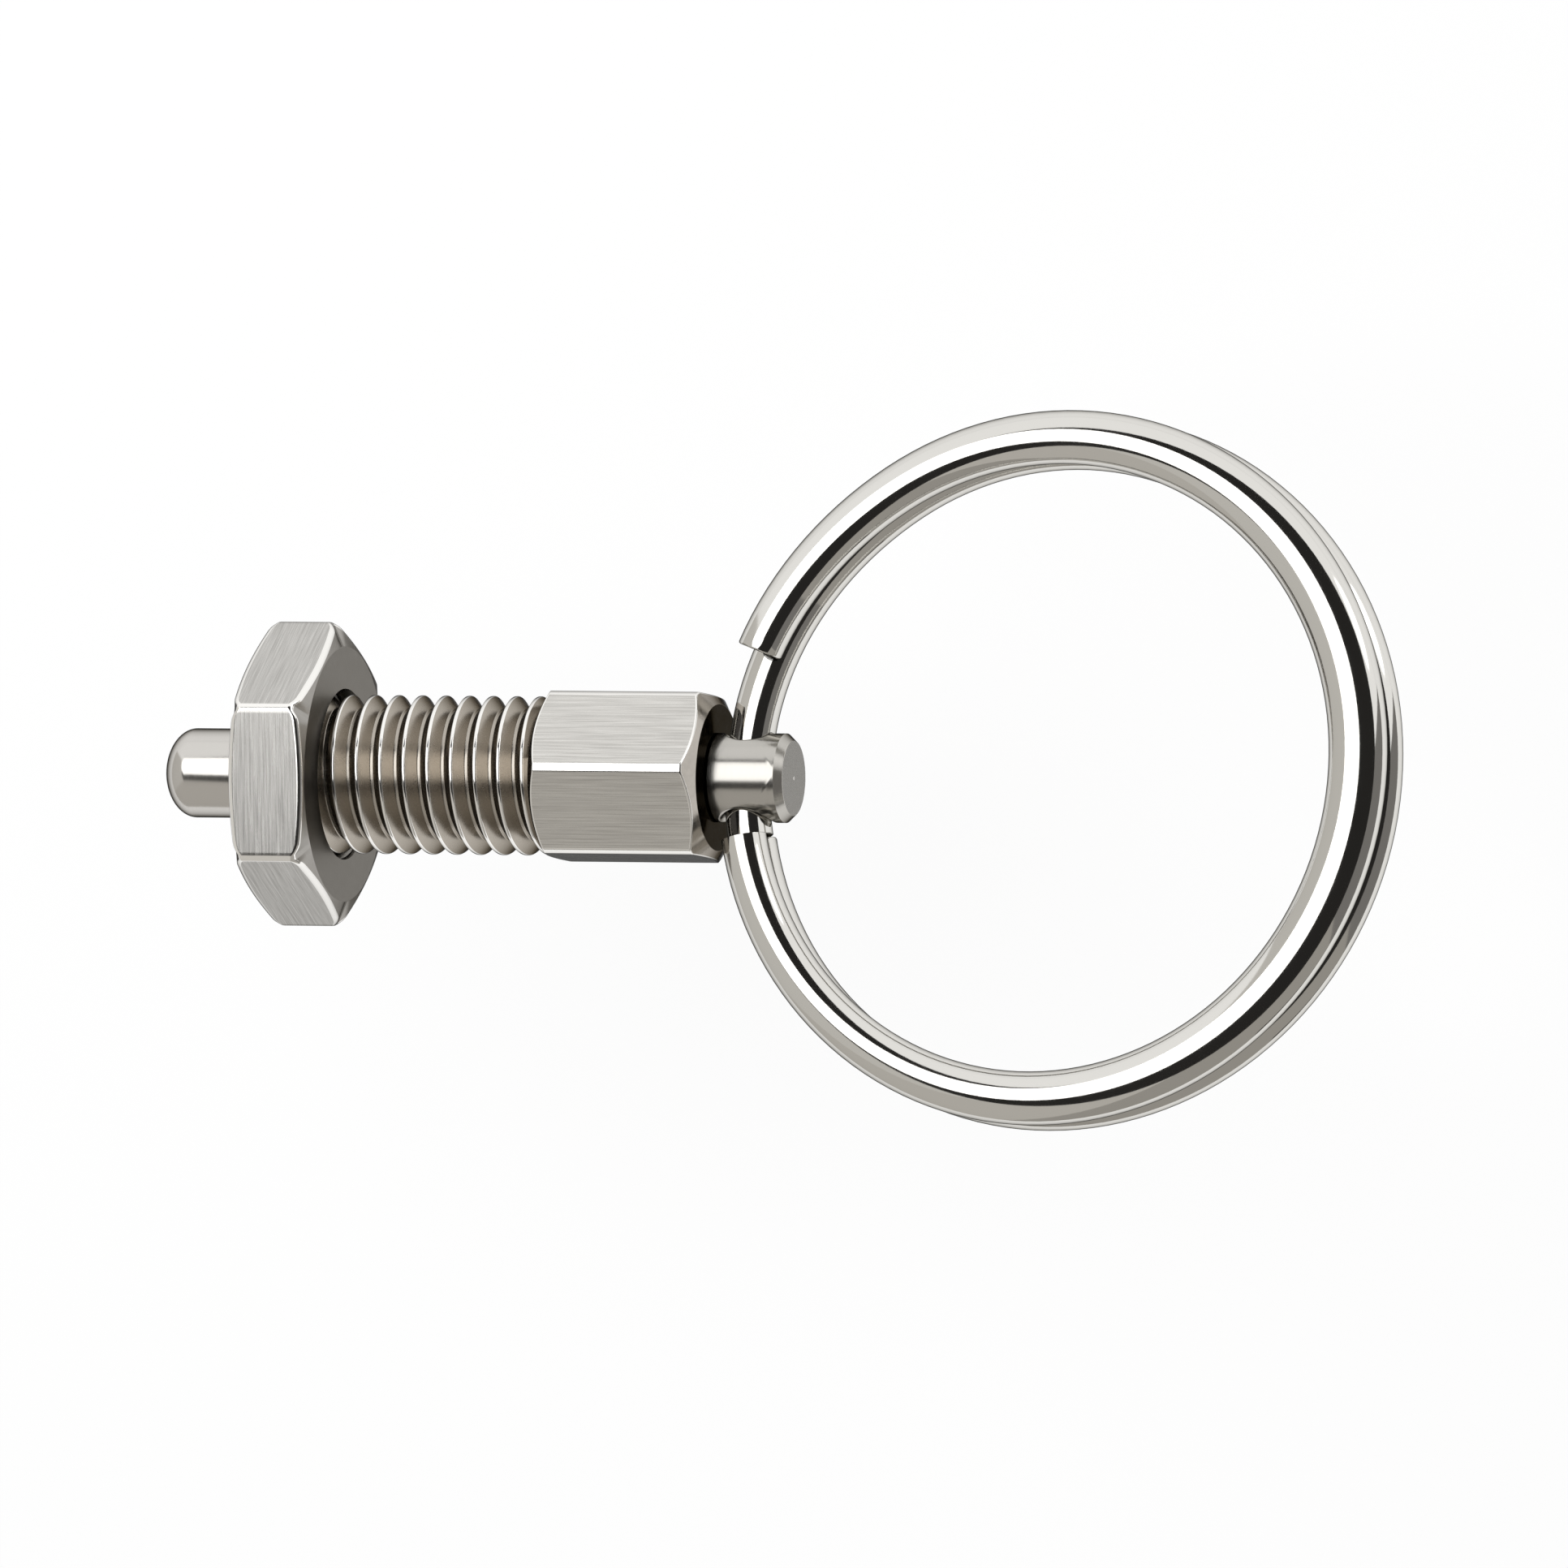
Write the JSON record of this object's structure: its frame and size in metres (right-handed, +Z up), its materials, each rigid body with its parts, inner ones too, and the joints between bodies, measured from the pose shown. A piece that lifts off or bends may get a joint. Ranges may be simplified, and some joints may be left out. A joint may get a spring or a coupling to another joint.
{
  "type": "indexing plunger with pull ring",
  "caption": "Spring-loaded indexing plunger with a threaded hexagon sleeve, a thin lock nut, a round-nosed pin and a split pull ring.",
  "frame": {"origin": "centre of the sleeve's front end, on the plunger's own axis", "axes": "+X along the plunger's axis from the pin's tip to the pull ring; +Z up, square to the nut's flat that the part lies on; +Y completes the frame"},
  "size_m": [0.0656, 0.0358, 0.0137],
  "materials": {
    "sleeve_steel": "brushed hexagon, rolled bright thread",
    "nut_steel": "brushed flats, satin faces",
    "pin_steel": "ground and polished",
    "rod_steel": "turned and polished",
    "spring_steel": "drawn wire",
    "ring_steel": "mirror polished"
  },
  "bodies": {
    "sleeve": {"sleeve_body": "sleeve_steel"},
    "nut": {"lock_nut": "nut_steel"},
    "spring": {"compression_spring": "spring_steel"},
    "pin": {"index_pin": "pin_steel", "pull_rod": "rod_steel"},
    "ring": {"split_ring": "ring_steel"}
  },
  "joints": [
    {"name": "nut_travel", "type": "slide", "parent": "sleeve", "child": "nut", "axis": [1, 0, 0], "range_m": [0, 0.0108]},
    {"name": "pull", "type": "slide", "parent": "sleeve", "child": "spring", "axis": [1, 0, 0], "range_m": [0, 0.0052], "stiffness_N_per_m": 1200, "springref_m": -0.0035, "deforming": ["compression_spring"]},
    {"name": "pin_turn", "type": "hinge", "parent": "spring", "child": "pin", "pos_m": [0, 0, 0], "axis": [1, 0, 0], "continuous": true},
    {"name": "ring_swing", "type": "hinge", "parent": "pin", "child": "ring", "pos_m": [0.02543, 0, 0], "axis": [0, 0.9796, -0.2011], "range_deg": [-35, 45]}
  ]
}
